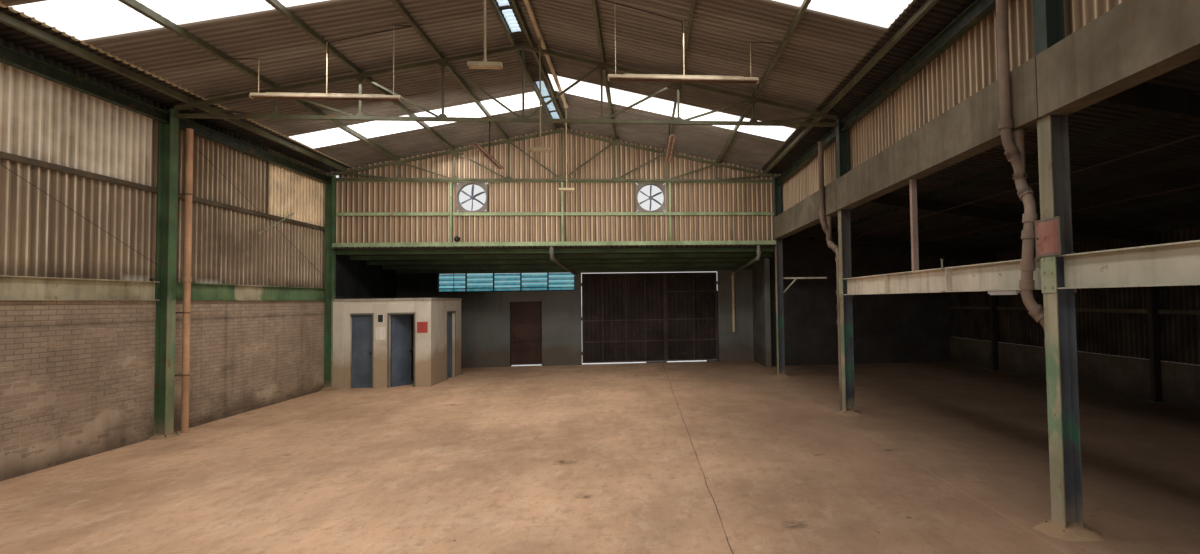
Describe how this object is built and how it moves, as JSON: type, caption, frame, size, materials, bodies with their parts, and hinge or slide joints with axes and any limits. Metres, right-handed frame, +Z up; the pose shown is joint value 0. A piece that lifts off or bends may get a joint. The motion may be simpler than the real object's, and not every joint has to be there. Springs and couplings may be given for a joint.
{
  "type": "factory building",
  "caption": "Steel-framed factory hall with trussed roof, side aisle, lean-to annex, gate, wall fans and a toilet block.",
  "frame": {"origin": "middle of the building's bounding box at ground level, under the floor slab", "axes": "+Z up, +Y along the hall from its front gable to the annex, +X towards the side aisle"},
  "size_m": [20.98, 30.87, 7.8934],
  "materials": {
    "floor_concrete": "weathered",
    "blockwork": "weathered",
    "green_paint": "weathered",
    "pale_green_paint": "weathered",
    "wall_sheet": "weathered",
    "roof_sheet": "weathered",
    "translucent_sheet": "weathered",
    "band_plaster": "weathered",
    "annex_plaster": "weathered",
    "louvre_metal": "weathered",
    "fan_metal": "weathered",
    "gate_steel": "weathered",
    "brown_door": "weathered",
    "blue_door": "weathered",
    "pipe_paint": "weathered",
    "lamp_housing": "weathered",
    "plate_paint": "weathered"
  },
  "bodies": {
    "building": {"floor_slab": "floor_concrete", "side_block_walls": "blockwork", "front_block_wall": "blockwork", "left_columns": "green_paint", "right_columns": "pale_green_paint", "aisle_posts": "pale_green_paint", "side_beams": "pale_green_paint", "left_cladding": "wall_sheet", "right_cladding": "wall_sheet", "front_cladding": "wall_sheet", "wall_girts": "green_paint", "gable_cladding": "wall_sheet", "gable_cladding_mid": "wall_sheet", "gable_frame": "green_paint", "roof_trusses": "green_paint", "roof_purlins": "green_paint", "lean_to_purlins": "green_paint", "roof_sheets": "roof_sheet", "skylights": "translucent_sheet", "eave_gutters": "green_paint", "fascia_band": "band_plaster", "mid_beams": "pale_green_paint", "aisle_roof": "roof_sheet", "aisle_rafters": "green_paint", "aisle_back_wall": "annex_plaster", "annex_wall_piers": "annex_plaster", "annex_walls": "annex_plaster", "lintels": "annex_plaster", "annex_roof": "roof_sheet", "louvre_window": "louvre_metal", "toilet_piers": "annex_plaster", "toilet_back_wall": "annex_plaster", "toilet_roof": "annex_plaster", "fan_frames": "fan_metal", "downpipes": "pipe_paint", "lamps": "lamp_housing", "wall_plates": "plate_paint"},
    "left_fan": {"fan_left": "fan_metal"},
    "right_fan": {"fan_right": "fan_metal"},
    "left_gate_leaf": {"gate_left": "gate_steel"},
    "right_gate_leaf": {"gate_right": "gate_steel"},
    "back_door_leaf": {"back_door": "brown_door"},
    "first_toilet_door": {"toilet_door_left": "blue_door"},
    "second_toilet_door": {"toilet_door_right": "blue_door"},
    "side_toilet_door": {"toilet_side_door": "blue_door"}
  },
  "joints": [
    {"name": "fan_left_spin", "type": "hinge", "parent": "building", "child": "left_fan", "pos_m": [-6.115, 10.195, 5.7], "axis": [0, 1, 0], "continuous": true},
    {"name": "fan_right_spin", "type": "hinge", "parent": "building", "child": "right_fan", "pos_m": [-0.815, 10.195, 5.7], "axis": [0, 1, 0], "continuous": true},
    {"name": "gate_left_hinge", "type": "hinge", "parent": "building", "child": "left_gate_leaf", "pos_m": [-3.39, 15.285, 0.15], "axis": [0, 0, 1], "range_deg": [0, 100]},
    {"name": "gate_right_hinge", "type": "hinge", "parent": "building", "child": "right_gate_leaf", "pos_m": [1.83, 15.285, 0.15], "axis": [0, 0, -1], "range_deg": [0, 100]},
    {"name": "back_door_hinge", "type": "hinge", "parent": "building", "child": "back_door_leaf", "pos_m": [-6.0425, 15.285, 0.15], "axis": [0, 0, 1], "range_deg": [0, 100]},
    {"name": "toilet_left_hinge", "type": "hinge", "parent": "building", "child": "first_toilet_door", "pos_m": [-9.4827, 10.185, 0.15], "axis": [0, 0, 1], "range_deg": [0, 85]},
    {"name": "toilet_right_hinge", "type": "hinge", "parent": "building", "child": "second_toilet_door", "pos_m": [-8.4127, 10.185, 0.15], "axis": [0, 0, 1], "range_deg": [-60, 25]},
    {"name": "toilet_side_hinge", "type": "hinge", "parent": "building", "child": "side_toilet_door", "pos_m": [-7.375, 12.3527, 0.15], "axis": [0, 0, -1], "range_deg": [-15, 70]}
  ]
}
